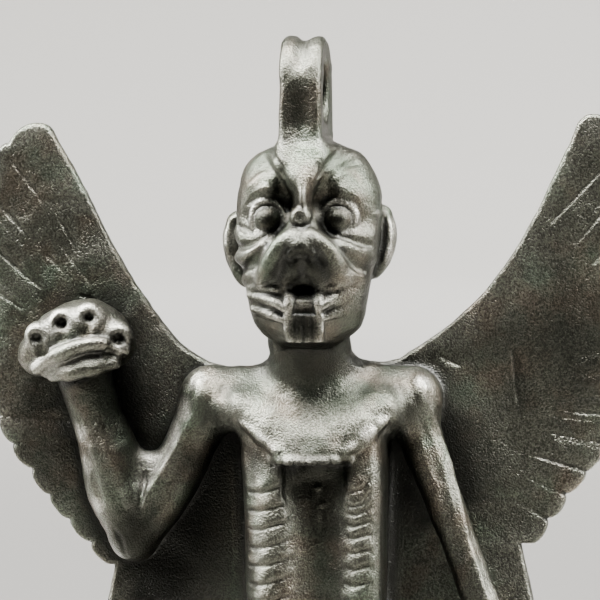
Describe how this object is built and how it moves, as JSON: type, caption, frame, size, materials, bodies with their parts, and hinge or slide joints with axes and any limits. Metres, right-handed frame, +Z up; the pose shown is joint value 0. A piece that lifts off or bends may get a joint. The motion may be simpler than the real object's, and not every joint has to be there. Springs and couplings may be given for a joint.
{
  "type": "winged demon statuette",
  "caption": "Cast bronze figure of a winged demon on a low base, right paw raised, left paw lowered, with a hanging loop on its head.",
  "frame": {"origin": "middle of the base's underside", "axes": "+Z up, the figure faces along -Y, and its left side is +X"},
  "size_m": [0.086, 0.056, 0.15],
  "materials": {
    "bronze": "cast tin bronze, dark olive to black patina rubbed bright on the high places, dull green in the hollows"
  },
  "bodies": {
    "root": {"statuette": "bronze"}
  },
  "joints": []
}
